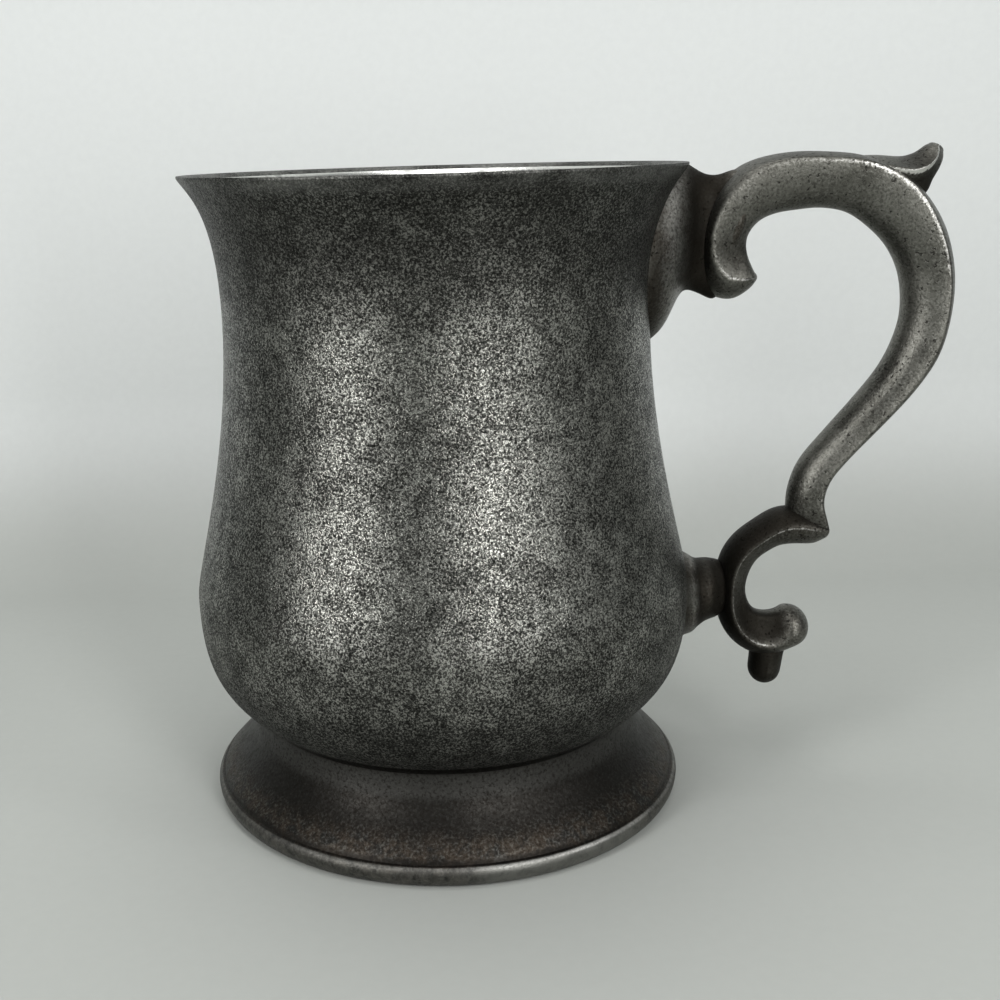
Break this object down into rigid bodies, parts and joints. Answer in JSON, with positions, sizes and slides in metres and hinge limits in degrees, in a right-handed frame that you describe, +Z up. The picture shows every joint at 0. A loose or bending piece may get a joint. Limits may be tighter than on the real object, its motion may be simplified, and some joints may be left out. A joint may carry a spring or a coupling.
{
  "type": "tankard",
  "caption": "Bell-shaped pewter drinking tankard with an out-turned lip, a hollow spread foot and a scrolled handle with a thumb spur.",
  "frame": {"origin": "on the table, under the middle of the bounding box of cup and handle together; the cup's axis is 23.93 mm to the -X side of it", "axes": "+Z up along the cup's axis, +X from the cup's axis to the handle, +Y away from someone who has the handle on their right"},
  "size_m": [0.1418, 0.094, 0.1198],
  "materials": {
    "speckled_pewter": "aged pewter, coarse grey grain with darker and lighter specks",
    "foot_pewter": "aged pewter, smoother, with brownish stains and worn bright edges",
    "handle_pewter": "aged cast pewter, satin, with small pits and worn bright ridges"
  },
  "bodies": {
    "root": {"cup_body": "speckled_pewter", "cup_floor": "speckled_pewter", "foot_ring": "foot_pewter", "upper_lug": "foot_pewter", "lower_lug": "foot_pewter", "handle_scroll": "handle_pewter", "thumb_spur": "handle_pewter", "lower_scroll": "handle_pewter", "scroll_tail": "handle_pewter"}
  },
  "joints": []
}
